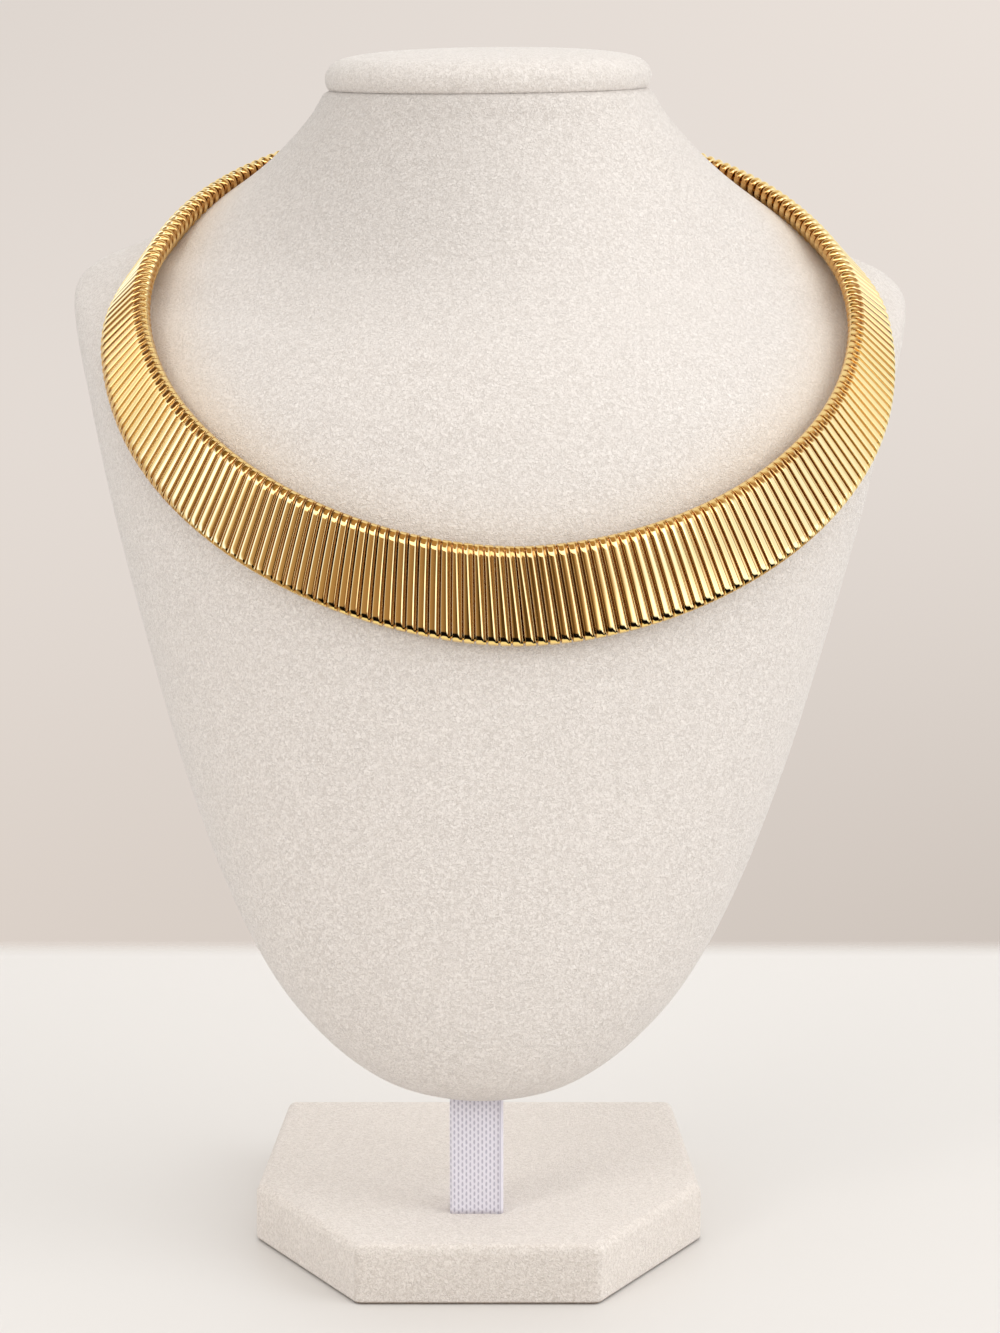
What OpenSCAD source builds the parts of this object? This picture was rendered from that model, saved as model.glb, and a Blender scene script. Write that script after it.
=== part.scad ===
// Ribbed collar necklace on a plain velvet neck bust.
// Millimetres. +Z is up, the front faces -Y, +X is the viewer's right.
// The origin is the middle of the foot's underside.

/* [Collar] */
// Width of the band at the front
band_front = 19.5; // [17:0.1:21]
// Width of the band behind the neck, where it is round
band_back = 3.2; // [3.2:0.1:4]
// Thickness of the flattened tube
band_thick = 3.2; // [2.8:0.1:3.4]
// Half the collar's width from side to side
collar_half = 76.2; // [75.5:0.1:78]
// From the collar's middle forward to its front
collar_front = 66; // [65:0.5:68]
// From the collar's middle back to its clasp
collar_back = 63; // [63:0.5:66]
// Height of the band's middle at the front
collar_low = 141.5; // [141:0.1:146]
// How much higher the collar sits behind the neck
collar_rise = 85; // [84:0.5:88]
// Turn of the collar round the neck
collar_turn = 3.3; // [0:0.1:4]
// How far the collar sits to the right of the foot's middle
collar_shift = 4.3; // [3.5:0.1:5]
// From the foot's front edge back to the collar's middle
collar_mid = 65.8; // [65:0.1:66]
// Slope of the band's face at the front, from level
face_slope = 89; // [80:1:90]
// Ribs in the whole loop, with those that the clasp takes the place of
rib_count = 224; // [200:2:240]
// Share of each rib place that is metal
rib_share = 0.74; // [0.6:0.01:0.8]
// Wall of a rib
rib_wall = 0.7; // [0.6:0.05:0.8]
// Lean of the ribs, as the tube is wound
rib_lean = 4.5; // [0:0.5:6]
// Rib places that the clasp takes
clasp_places = 8; // [6:2:12]
// Diameter of the clasp
clasp_d = 4; // [3.6:0.1:4.2]
// Diameter of the hole in each end of the clasp
clasp_bore = 2.5; // [2.4:0.1:2.8]

/* [Bust] */
// Lean of the bust to the right on its post
bust_lean = 0.9; // [0:0.1:1]
// Half the width of the neck cap at its roll
cap_half = 34.6; // [34.2:0.1:36]
// Height of the neck cap over its seam
cap_high = 8.6; // [7:0.1:10]

/* [Foot] */
// Height of the foot
foot_high = 12; // [12:0.5:16]
// From the foot's front edge to its back edge
foot_depth = 103; // [100:1:110]
// Length of the foot's front edge
foot_front = 48; // [40:1:60]
// Width of the foot at its side corners
foot_wide = 92; // [88:1:100]
// Length of the foot's back edge
foot_back = 85; // [75:1:88]
// From the foot's front edge back to its side corners
foot_corner = 41; // [35:1:45]
// Softening of the foot's edges
foot_soft = 1.2; // [0.6:0.1:2]
// Width of the post's bar
post_wide = 9.4; // [8:0.1:12]
// Thickness of the post's bar
post_thick = 4; // [3:0.1:6]
// Thickness of the tape round the post
tape_thick = 1; // [0.6:0.1:1.4]
// From the foot's front edge to the front of the tape
post_front = 21; // [18:0.5:24]
// Height of the post's top inside the bust
post_top = 80; // [60:1:100]

/* [Hidden] */
$fn = 48;

// Columns of SECTIONS. Depths count back from the foot's front edge, and fullness
// pulls a side in (above 0) or swells it (below 0) between the middle and the edge.
HIGH = 0;
HALF = 1;
FRONT = 2;
SIDE = 3;
BACK = 4;
FRONT_PULL = 5;
BACK_PULL = 6;

// Level sections of the bust from its tip to the neck's top:
// height, half width, front, widest place, back, front pull, back pull
SECTIONS = [
    [35.9, 0, 22, 22, 22, 0, 0],
    [37.6, 12.5, 14.5, 22.5, 31, 0, -0.1],
    [41.4, 22.2, 9, 24, 37, 0, -0.2],
    [48.8, 32.2, 5, 26.5, 42, 0, -0.3],
    [60, 42, 2.5, 30, 47, 0, -0.4],
    [77, 51.6, 1.2, 36, 55.5, 0, -0.4],
    [100, 61, 1, 44, 67, 0, -0.4],
    [125, 69.3, 1.8, 53, 80, 0, -0.4],
    [150, 77, 3.2, 63, 93.5, 0.05, -0.4],
    [170, 83.2, 9.9, 79, 105, 0.12, -0.3],
    [183.5, 87.8, 18.8, 95.5, 113, 0.36, -0.2],
    [191, 89, 27, 107.5, 118.5, 0.54, -0.15],
    [196.2, 84.6, 33, 111, 122.6, 0.55, -0.15],
    [200.8, 74, 38, 110, 125.2, 0.46, -0.15],
    [209, 58.9, 44.8, 105.5, 126.4, 0.3, -0.08],
    [218, 46.8, 52, 100.5, 126.8, 0.14, -0.06],
    [228, 37.8, 58.8, 96, 126.4, 0, -0.05],
    [234.6, 34.2, 61.3, 95, 125.2, 0, 0],
];
neck_top = SECTIONS[len(SECTIONS) - 1][HIGH];
neck_middle = SECTIONS[len(SECTIONS) - 1][SIDE];
lean_height = 40;

// Mesh density of the bust, the cap and the core
bust_steps = 3;
bust_sides = 56;
cap_sides = 48;
core_stations = 80;

// Clearances
core_gap = 0.2;
clasp_gap = 0.4;
clasp_soft = 0.5;
post_gap = 0.2;

SLACK = 0.01;

function unit(v) = v / norm(v);
function last(list) = list[len(list) - 1];

// A smooth curve through rows of numbers, where f runs from 0 at p1 to 1 at p2
function between(p0, p1, p2, p3, f) =
    (2 * p1 + (p2 - p0) * f + (2 * p0 - 5 * p1 + 4 * p2 - p3) * f * f
        + (3 * p1 - p0 - 3 * p2 + p3) * f * f * f) / 2;

// The section before the tip is the first one seen from the other side, so that the tip is round
function past_tip(tip, row) = [
    row[HIGH], -row[HALF], 2 * tip[SIDE] - row[FRONT], 2 * tip[SIDE] - row[SIDE],
    2 * tip[SIDE] - row[BACK], row[FRONT_PULL], row[BACK_PULL]
];

function bust_section(v) =
    let (i = min(floor(v), len(SECTIONS) - 2), p1 = SECTIONS[i], p2 = SECTIONS[i + 1])
    let (p0 = i > 0 ? SECTIONS[i - 1] : past_tip(p1, p2))
    let (p3 = i + 2 < len(SECTIONS) ? SECTIONS[i + 2] : 2 * p2 - p1)
    between(p0, p1, p2, p3, v - i);

// Point of a section, at 0 in front, 90 on the right and 180 behind
function section_point(row, angle) =
    let (ahead = cos(angle) >= 0)
    let (reach = ahead ? row[SIDE] - row[FRONT] : row[BACK] - row[SIDE])
    let (pull = ahead ? row[FRONT_PULL] : row[BACK_PULL])
    [
        row[HALF] * sin(angle),
        row[SIDE] - reach * cos(angle) * (1 - pull * sin(angle) * sin(angle)),
        row[HIGH]
    ];

// Middle of the band, round the loop from -180 at the clasp by 0 in front to 180
function band_middle(t) =
    let (x = collar_half * sin(t), y = -(cos(t) > 0 ? collar_front : collar_back) * cos(t))
    [
        collar_shift + x * cos(collar_turn) - y * sin(collar_turn),
        collar_mid + x * sin(collar_turn) + y * cos(collar_turn),
        collar_low + collar_rise * pow((1 - cos(t)) / 2, 0.91)
    ];

// Direction of the loop, of the band's outer edge from its middle, and of its face
function band_along(t) = unit(band_middle(t + 0.05) - band_middle(t - 0.05));
function band_frame(t) =
    let (along = band_along(t), level = unit([along.y, -along.x, 0]), down = cross(along, level))
    let (slope = face_slope * pow((1 + cos(t)) / 2, 0.97))
    let (edge = level * cos(slope) + down * sin(slope))
    [along, edge, level * sin(slope) - down * cos(slope)];

// The band keeps its width over the chest and narrows to a round tube behind the neck
function band_width(t) =
    band_back + (band_front - band_back) * max(0, 1 - pow(abs(t) / 164, 1.65));

// Distances along the loop, one for each degree, and the place at a given distance
loop_lengths = [
    for (t = -180, s = 0; t <= 180; s = s + norm(band_middle(t + 1) - band_middle(t)), t = t + 1) [s, t]
];
loop_length = last(loop_lengths)[0];
rib_pitch = loop_length / rib_count;
function place(s) = lookup(s, loop_lengths);

// Moves a shape to the place t of the loop: x towards the outer edge, y out of the face, z back along the loop
module on_band(t, lean = 0) {
    frame = band_frame(t);
    edge = frame[1] * cos(lean) + frame[0] * sin(lean);
    back = frame[1] * sin(lean) - frame[0] * cos(lean);
    at = band_middle(t);
    multmatrix([
        [edge.x, frame[2].x, back.x, at.x],
        [edge.y, frame[2].y, back.y, at.y],
        [edge.z, frame[2].z, back.z, at.z],
        [0, 0, 0, 1]
    ])
        children();
}

// Flat oval with round ends
module oval(wide, thick) {
    if (wide - thick > SLACK)
        square([wide - thick, thick], center = true);
    for (side = wide - thick > SLACK ? [-1, 1] : [0])
        translate([side * (wide - thick) / 2, 0])
            circle(d = thick);
}

module rib(wide) {
    linear_extrude(height = rib_pitch * rib_share, center = true)
        difference() {
            oval(wide, band_thick);
            oval(wide - 2 * rib_wall, band_thick - 2 * rib_wall);
        }
}

// Ribs whose places lie between two counts from the clasp's middle
module rib_row(first, last) {
    for (i = [first:last]) {
        t = place((i + 0.5) * rib_pitch);
        on_band(t, rib_lean)
            rib(band_width(t));
    }
}

// Solid through closed rings of points with the same number of points each. Seen from the last
// ring, each one turns anticlockwise.
module lofted(rings) {
    n = len(rings[0]);
    sides = [
        for (k = [0:len(rings) - 2], j = [0:n - 1])
            [k * n + j, (k + 1) * n + j, (k + 1) * n + (j + 1) % n, k * n + (j + 1) % n]
    ];
    triangles = [for (f = sides, half = [0, 1]) half == 0 ? [f[0], f[1], f[2]] : [f[0], f[2], f[3]]];
    polyhedron(
        points = [for (ring = rings) each ring],
        faces = concat([[for (j = [0:n - 1]) j]], [[for (j = [n - 1:-1:0]) (len(rings) - 1) * n + j]], triangles)
    );
}

// Places that count from the foot's front edge, moved to the origin
module from_front() {
    translate([0, -foot_depth / 2, 0])
        children();
}

module leaning() {
    translate([0, 0, lean_height])
        rotate([0, bust_lean, 0])
            translate([0, 0, -lean_height])
                children();
}

module ribs_left() {
    color("goldenrod")
        from_front()
            rib_row(clasp_places / 2, rib_count / 2 - 1);
}

module ribs_right() {
    color("gold")
        from_front()
            rib_row(rib_count / 2, rib_count - 1 - clasp_places / 2);
}

// Inner band, which ends inside the clasp
module core() {
    thick = band_thick - 2 * rib_wall - 2 * core_gap;
    reach = (clasp_places / 2 - 2) * rib_pitch;
    rings = [
        for (i = [0:core_stations])
            let (t = place(reach + (loop_length - 2 * reach) * i / core_stations), frame = band_frame(t))
            let (half = (band_width(t) - band_thick) / 2)
            [
                for (j = [0:11])
                    let (angle = 15 + 30 * j, side = sin(angle) > 0 ? half : -half)
                    band_middle(t) + frame[1] * (side + thick / 2 * sin(angle))
                        + frame[2] * thick / 2 * cos(angle)
            ]
    ];
    color("darkgoldenrod")
        from_front()
            lofted(rings);
}

// Plain barrel that the core's two ends run into
module clasp() {
    end = (clasp_places * rib_pitch - 2 * clasp_gap) / 2;
    floor_at = (clasp_places / 2 - 2) * rib_pitch - clasp_gap;
    color("khaki")
        from_front()
            on_band(180)
                rotate_extrude()
                    polygon([
                        [0, -floor_at], [clasp_bore / 2, -floor_at], [clasp_bore / 2, -end],
                        [clasp_d / 2 - clasp_soft, -end], [clasp_d / 2, -end + clasp_soft],
                        [clasp_d / 2, end - clasp_soft], [clasp_d / 2 - clasp_soft, end],
                        [clasp_bore / 2, end], [clasp_bore / 2, floor_at], [0, floor_at]
                    ]);
}

// Neck, shoulders and chest, with a slot for the post
module neck_form() {
    levels = bust_steps * (len(SECTIONS) - 1);
    rings = [
        for (k = [0:levels])
            let (row = bust_section(max(k / bust_steps, 0.12)))
            [for (j = [0:bust_sides - 1]) section_point(row, 360 * j / bust_sides)]
    ];
    color("linen")
        from_front()
            difference() {
                leaning()
                    lofted(rings);
                post_space();
            }
}

module post_space() {
    wide = post_wide + 2 * tape_thick + 2 * post_gap;
    thick = post_thick + 2 * tape_thick + 2 * post_gap;
    translate([-wide / 2, post_front - post_gap, foot_high])
        cube([wide, thick, post_top - foot_high + post_gap]);
}

// Padded oval: a rolled edge and a crowned top over a flat underside
module neck_cap() {
    row = last(SECTIONS);
    front_reach = row[SIDE] - row[FRONT];
    back_reach = row[BACK] - row[SIDE];
    // share of the half width, and share of the height
    profile = [[0.975, 0], [0.995, 0.14], [1, 0.3], [0.99, 0.47], [0.955, 0.64], [0.88, 0.78], [0.7, 0.9],
        [0.4, 0.975], [0.06, 1]];
    rings = [
        for (p = profile)
            [
                for (j = [0:cap_sides - 1])
                    let (angle = 360 * j / cap_sides, reach = cos(angle) >= 0 ? front_reach : back_reach)
                    [
                        cap_half * p[0] * sin(angle),
                        neck_middle - (reach + cap_half - row[HALF]) * p[0] * cos(angle),
                        neck_top + SLACK + cap_high * p[1]
                    ]
            ]
    ];
    color("seashell")
        from_front()
            leaning()
                lofted(rings);
}

module post() {
    color("silver")
        from_front()
            translate([-post_wide / 2, post_front + tape_thick, foot_high / 3])
                cube([post_wide, post_thick, post_top - foot_high / 3]);
}

// Sleeve of woven tape, snug round the bar
module post_tape() {
    wide = post_wide + 2 * tape_thick;
    thick = post_thick + 2 * tape_thick;
    color("lavender")
        from_front()
            difference() {
                translate([-wide / 2, post_front, foot_high])
                    cube([wide, thick, post_top - foot_high]);
                translate([-post_wide / 2, post_front + tape_thick, 0])
                    cube([post_wide, post_thick, post_top + 1]);
            }
}

module foot_outline(inset) {
    front = foot_front / 2 - inset * 0.6;
    wide = foot_wide / 2 - inset;
    back = foot_back / 2 - inset;
    polygon([
        [-front, inset], [front, inset], [wide, foot_corner], [back, foot_depth - inset],
        [-back, foot_depth - inset], [-wide, foot_corner]
    ]);
}

// Six-sided foot with a socket for the post
module base() {
    color("antiquewhite")
        from_front()
            difference() {
                hull() {
                    linear_extrude(height = foot_high)
                        foot_outline(foot_soft);
                    translate([0, 0, foot_soft])
                        linear_extrude(height = foot_high - 2 * foot_soft)
                            foot_outline(0);
                }
                translate([-post_wide / 2 - post_gap, post_front + tape_thick - post_gap, foot_high / 3])
                    cube([post_wide + 2 * post_gap, post_thick + 2 * post_gap, foot_high]);
            }
}

ribs_left();
ribs_right();
core();
clasp();
neck_form();
neck_cap();
post();
post_tape();
base();
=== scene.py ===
import math

import bpy
import numpy as np
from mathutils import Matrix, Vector


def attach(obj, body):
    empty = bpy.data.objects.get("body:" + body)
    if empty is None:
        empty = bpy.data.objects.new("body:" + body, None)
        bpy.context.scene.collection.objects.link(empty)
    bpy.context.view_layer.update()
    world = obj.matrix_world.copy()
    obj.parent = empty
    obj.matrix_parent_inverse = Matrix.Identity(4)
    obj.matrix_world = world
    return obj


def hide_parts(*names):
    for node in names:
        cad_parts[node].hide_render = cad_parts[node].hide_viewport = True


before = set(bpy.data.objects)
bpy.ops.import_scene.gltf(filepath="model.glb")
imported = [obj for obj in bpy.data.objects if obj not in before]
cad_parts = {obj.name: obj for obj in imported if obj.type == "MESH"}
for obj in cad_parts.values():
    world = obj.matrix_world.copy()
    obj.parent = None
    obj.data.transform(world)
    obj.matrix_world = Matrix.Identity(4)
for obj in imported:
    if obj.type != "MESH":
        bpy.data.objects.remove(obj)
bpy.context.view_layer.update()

# Shapes are in millimetres, with Y from the foot's front edge; the frame's Y is that less footDepth / 2.
mm = 0.001
footDepth = 103.0
print("frame loaded:", sorted(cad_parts))


def unit(v):  # v / |v|
    return v / np.linalg.norm(v, axis=-1, keepdims=True)


def smoothStep(x, low, high):  # 3u^2 - 2u^3 of u = (x - low) / (high - low), held between 0 and 1
    u = np.clip((x - low) / (high - low), 0, 1)
    return u * u * (3 - 2 * u)


def between(x, start, full, fade, gone):  # a smooth step up from start to full, and down again from fade to gone
    return smoothStep(x, start, full) * (1 - smoothStep(x, fade, gone))


def bell(x, width):  # exp(-(x / width)^2)
    return np.exp(-(x / width) ** 2)


def throughPoints(rows, steps, before=None):
    # Catmull-Rom: (2 p1 + (p2 - p0) f + (2 p0 - 5 p1 + 4 p2 - p3) f^2 + (3 p1 - p0 - 3 p2 + p3) f^3) / 2
    rows = np.asarray(rows, float)
    first = 2 * rows[0] - rows[1] if before is None else before
    p = np.vstack([first, rows, 2 * rows[-1] - rows[-2]])
    v = np.linspace(0, len(rows) - 1, steps * (len(rows) - 1) + 1)
    i = np.minimum(v.astype(int), len(rows) - 2)
    f = (v - i)[:, None]
    p0, p1, p2, p3 = p[i], p[i + 1], p[i + 2], p[i + 3]
    return (2 * p1 + (p2 - p0) * f + (2 * p0 - 5 * p1 + 4 * p2 - p3) * f ** 2
            + (3 * p1 - p0 - 3 * p2 + p3) * f ** 3) / 2


def newObject(name, data):
    made = bpy.data.objects.new(name, data)
    bpy.context.scene.collection.objects.link(made)
    return made


def closedSkin(name, grid, uv=None, **marks):
    # A closed skin over grid[row, column]. Columns join up; each end row closes on a pole, its mean point.
    # The corners' order is turned over when the sum of a . (b x c) / 6, the volume, is negative.
    # Each mark is one number a point, which a material reads as the attribute of that name.
    rows, columns = grid.shape[:2]
    points = np.vstack([grid.reshape(-1, 3), grid[0].mean(0), grid[-1].mean(0)])
    here = np.arange(rows * columns).reshape(rows, columns)
    beside = np.roll(here, -1, 1)
    quads = np.stack([here[:-1], beside[:-1], beside[1:], here[1:]], -1).reshape(-1, 4)
    low = np.stack([np.full(columns, rows * columns), beside[0], here[0]], -1)
    high = np.stack([np.full(columns, rows * columns + 1), here[-1], beside[-1]], -1)
    triangles = np.vstack([quads[:, [0, 1, 2]], quads[:, [0, 2, 3]], low, high])
    a, b, c = points[triangles.T]
    turned = (a * np.cross(b, c)).sum() < 0
    if turned:
        quads, low, high = quads[:, ::-1], low[:, ::-1], high[:, ::-1]
    mesh = bpy.data.meshes.new(name)
    mesh.from_pydata(points * mm, [], quads.tolist() + low.tolist() + high.tolist())
    mesh.polygons.foreach_set("use_smooth", np.ones(len(mesh.polygons), bool))
    if uv is not None:
        # uv has one column more than grid, so that the pattern doesn't run backwards at the join
        corners = np.stack([uv[:-1, :-1], uv[:-1, 1:], uv[1:, 1:], uv[1:, :-1]], 2)
        if turned:
            corners = corners[:, :, ::-1]
        ends = np.zeros((2 * columns * 3, 2))
        layer = mesh.uv_layers.new(name="along")
        layer.data.foreach_set("uv", np.vstack([corners.reshape(-1, 2), ends]).ravel())
    for mark, numbers in marks.items():
        layer = mesh.attributes.new(mark, "FLOAT", "POINT")
        layer.data.foreach_set("value", np.append(numbers.ravel(), [numbers[0].mean(), numbers[-1].mean()]))
    mesh.update()
    return newObject(name, mesh)


# the photograph's viewpoint; the lens is focus / high of the sensor's height, both in its pixels
view = {"place": (0.0044, -0.8065, 0.261), "tilt": 80.0, "sensor": 36.0, "focus": 4000, "high": 1333,
        "clip": (0.02, 30)}

camera = newObject("camera", bpy.data.cameras.new("camera"))
camera.location = view["place"]
camera.rotation_euler = (math.radians(view["tilt"]), 0, 0)
camera.data.sensor_width = view["sensor"]
camera.data.lens = view["sensor"] * view["focus"] / view["high"]
camera.data.clip_start, camera.data.clip_end = view["clip"]
bpy.context.scene.camera = camera
bpy.context.scene.view_settings.view_transform = "Standard"
print("camera placed")


class Nodes:  # short hand for a node tree
    def __init__(self, tree):
        tree.nodes.clear()
        self.tree = tree

    def fill(self, node, **inputs):  # links or sets inputs; i0 and i1 go by number, and _ is a space in a name
        for key, value in inputs.items():
            socket = node.inputs[int(key[1:]) if key[1:].isdigit() else key.replace("_", " ")]
            if isinstance(value, bpy.types.NodeSocket):
                self.tree.links.new(value, socket)
            else:
                socket.default_value = value
        return node

    def add(self, kind, settings=None, **inputs):
        made = self.tree.nodes.new(kind)
        for key, value in (settings or {}).items():
            setattr(made, key, value)
        return self.fill(made, **inputs)

    def math(self, operation, a, b=0.0, c=0.0):
        return self.add("ShaderNodeMath", {"operation": operation}, i0=a, i1=b, i2=c).outputs[0]

    def times(self, first, *more):  # first x second x third ...
        for value in more:
            first = self.math("MULTIPLY", first, value)
        return first

    def vector(self, operation, **inputs):
        return self.add("ShaderNodeVectorMath", {"operation": operation}, **inputs)

    def darker(self, colour, share):  # colour x (1 - share)
        return self.vector("SCALE", i0=colour, Scale=self.math("SUBTRACT", 1.0, share)).outputs[0]

    def ramp(self, factor, stops):
        made = self.add("ShaderNodeValToRGB", i0=factor)
        band = made.color_ramp
        while len(band.elements) < len(stops):
            band.elements.new(0.5)
        for element, (position, colour) in zip(band.elements, stops):
            element.position = position
            element.color = (*colour, 1)
        return made.outputs[0]

    def step(self, value, low, high):  # smooth step from 0 at low to 1 at high
        return self.add("ShaderNodeMapRange", {"interpolation_type": "SMOOTHSTEP"}, Value=value,
                        From_Min=low, From_Max=high).outputs[0]

    def window(self, value, low, high, soft):  # 1 between low and high, 0 outside, with soft sides
        start, end = (self.step(value, side - soft, side + soft) for side in (low, high))
        return self.math("SUBTRACT", start, end)

    def mix(self, factor, a, b):  # a (1 - factor) + b factor; a colour of three numbers is made opaque
        a, b = ((*colour, 1) if isinstance(colour, tuple) else colour for colour in (a, b))
        return self.add("ShaderNodeMix", {"data_type": "RGBA"}, i0=factor, i6=a, i7=b).outputs[2]

    def noise(self, place, scale, detail, **more):
        return self.add("ShaderNodeTexNoise", Vector=place, Scale=scale, Detail=detail, **more).outputs[0]

    def bump(self, height, strength, distance):
        return self.add("ShaderNodeBump", Strength=strength, Distance=distance, Height=height).outputs[0]

    def place(self):
        return self.add("ShaderNodeTexCoord").outputs["Object"]

    def parts(self, vector):
        return self.add("ShaderNodeSeparateXYZ", Vector=vector).outputs

    def mark(self, name):
        return self.add("ShaderNodeAttribute", {"attribute_name": name}).outputs["Fac"]


def emptyMaterial(name):  # a material and its empty node tree
    material = bpy.data.materials.new(name)
    material.use_nodes = True
    return material, Nodes(material.node_tree)


def newMaterial(name):  # the same with a principled shader at its output
    material, nodes = emptyMaterial(name)
    shader = nodes.add("ShaderNodeBsdfPrincipled")
    nodes.add("ShaderNodeOutputMaterial", Surface=shader.outputs[0])
    return material, nodes, shader


claspLook = {"colour": (0.95, 0.72, 0.36), "deep": (0.92, 0.66, 0.29), "roughness": 0.05, "worn": 0.10}
# painted shade: shade, groove and black are the colours that the hollow mark paints into the ribs' grooves, hollows and
# undersides
goldLook = {**claspLook, "shade": (0.52, 0.26, 0.075), "groove": (0.2, 0.088, 0.02), "black": (0.03, 0.012, 0.004)}
coreLook = {"colour": (0.66, 0.42, 0.15), "deep": (0.56, 0.34, 0.11), "roughness": 0.16, "worn": 0.26}
metalGrain = {"fine": 900.0, "broad": 120.0, "ripple": 0.05, "rippleHeight": 0.00004, "grooveRough": 0.3}


def polishedMetal(name, look):
    # Roughness runs from roughness to worn over fine noise; faint ripples stand for the rolled strip. Where the look
    # has a groove colour, the hollow mark paints shade into the metal: to shade at 0.5, to groove at 1 and to black at
    # 1.6.
    material, nodes, shader = newMaterial(name)
    place = nodes.place()
    fine = nodes.noise(place, metalGrain["fine"], 3.0)
    broad = nodes.noise(place, metalGrain["broad"], 2.0)
    colour = nodes.mix(broad, look["colour"], look["deep"])
    rough = nodes.add("ShaderNodeMapRange", Value=fine, From_Min=0.35, From_Max=0.75,
                      To_Min=look["roughness"], To_Max=look["worn"]).outputs[0]
    if "groove" in look:
        hollow = nodes.mark("hollow")
        for low, high, darker in ((0.0, 0.5, "shade"), (0.5, 1.0, "groove"), (1.0, 1.6, "black")):
            colour = nodes.mix(nodes.step(hollow, low, high), colour, look[darker])
        rough = nodes.math("MULTIPLY_ADD", hollow, metalGrain["grooveRough"], rough)
    ripples = nodes.bump(broad, metalGrain["ripple"], metalGrain["rippleHeight"])
    nodes.fill(shader, Base_Color=colour, Roughness=rough, Metallic=1.0, Normal=ripples)
    return material


velvetLook = {
    "light": (0.89, 0.84, 0.8), "dark": (0.67, 0.62, 0.58), "patch": (0.78, 0.725, 0.68),
    "glow": (0.88, 0.7, 0.5),  # painted reflected light of the gold on the cloth beside it
    # painted shade: the upper left of the neck is darker by this share, between these metres
    "paintedNeckShade": {"share": 0.12, "up": (0.178, 0.214), "right": (0.036, -0.012), "left": (-0.062, -0.03)},
}
# painted light: the cap's and the foot's velvet are lighter copies of the bust's velvet
capLook = {"light": (0.91, 0.86, 0.82), "dark": (0.71, 0.66, 0.615), "patch": (0.8, 0.75, 0.71)}
footLook = {
    "light": (0.93, 0.865, 0.81), "dark": (0.7, 0.635, 0.58), "patch": (0.81, 0.745, 0.685),
    "front": {"share": 0.1, "from": (-0.0502, -0.0512)},  # painted shade: the front face is darker
    "contactShadow": {"colour": (0.2, 0.13, 0.08), "up": (0.0003, 0.0007)},  # painted contact shadow along the cloth's lower edge
}
# sizes of the marks per metre, how much each adds, and how the pile takes the light
pile = {"marks": 2100.0, "tufts": 1200.0, "tuftShare": 0.2, "patches": 30.0, "patchShare": 0.12, "glowShare": 0.5,
        "roughness": 0.95, "gloss": 0.12, "sheen": 0.6, "sheenRoughness": 0.35, "sheenTint": (1, 0.99, 0.98, 1),
        "bump": 0.85, "height": 0.0005}


def velvet(name, look):
    # Short pile marks, about 0.3 by 0.6 mm, are 0.8 stretched noise and 0.2 round tufts, over broad patches where the
    # pile lies another way. The glow mark then tints the cloth with the gold's painted reflected light, painted shade
    # darkens the looks' own places by their share, and a painted contact shadow runs along the foot's lower edge.
    material, nodes, shader = newMaterial(name)
    place = nodes.place()
    x, y, z = nodes.parts(place)
    marks = nodes.noise(place, pile["marks"], 1.5, Roughness=0.55, Distortion=1.3)
    tufts = nodes.noise(place, pile["tufts"], 1.0)
    patch = nodes.noise(place, pile["patches"], 2.0)
    both = nodes.math("MULTIPLY_ADD", tufts, pile["tuftShare"], nodes.times(marks, 1 - pile["tuftShare"]))
    ground = nodes.mix(nodes.step(both, 0.34, 0.66), look["dark"], look["light"])
    ground = nodes.mix(nodes.times(nodes.step(patch, 0.4, 0.68), pile["patchShare"]), ground, look["patch"])
    # painted reflected light of the gold on the cloth beside it
    if "glow" in look:
        ground = nodes.mix(nodes.times(nodes.mark("glow"), pile["glowShare"]), ground, look["glow"])
    # painted shade on the neck's upper left side
    if "paintedNeckShade" in look:
        paintedNeckShade = look["paintedNeckShade"]
        ground = nodes.darker(ground, nodes.times(nodes.step(z, *paintedNeckShade["up"]), nodes.step(x, *paintedNeckShade["right"]),
                                                  nodes.step(x, *paintedNeckShade["left"]), paintedNeckShade["share"]))
    # painted shade on the foot's front face
    if "front" in look:
        ground = nodes.darker(ground, nodes.times(nodes.step(y, *look["front"]["from"]), look["front"]["share"]))
    # painted contact shadow at the foot's lower edge
    if "contactShadow" in look:
        ground = nodes.mix(nodes.step(z, *look["contactShadow"]["up"]), look["contactShadow"]["colour"], ground)
    nodes.fill(shader, Base_Color=ground, Roughness=pile["roughness"], Specular_IOR_Level=pile["gloss"],
               Sheen_Weight=pile["sheen"], Sheen_Roughness=pile["sheenRoughness"], Sheen_Tint=pile["sheenTint"],
               Normal=nodes.bump(both, pile["bump"], pile["height"]))
    return material


# across and up: one hole's share of the tape, in millimetres; the hole's half width and height are shares of that
tapeLook = {
    "thread": (0.79, 0.77, 0.85), "hole": (0.45, 0.43, 0.52), "across": 0.8, "up": 1.35, "holeWide": 0.235,
    "holeHigh": 0.36, "wobble": 0.16, "rib": 0.4, "selvage": (9.6, 10.6), "line": (9.38, 9.6), "roughness": 0.75,
    "sheen": 0.15, "bump": 0.6, "height": 0.00015,
}


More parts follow.
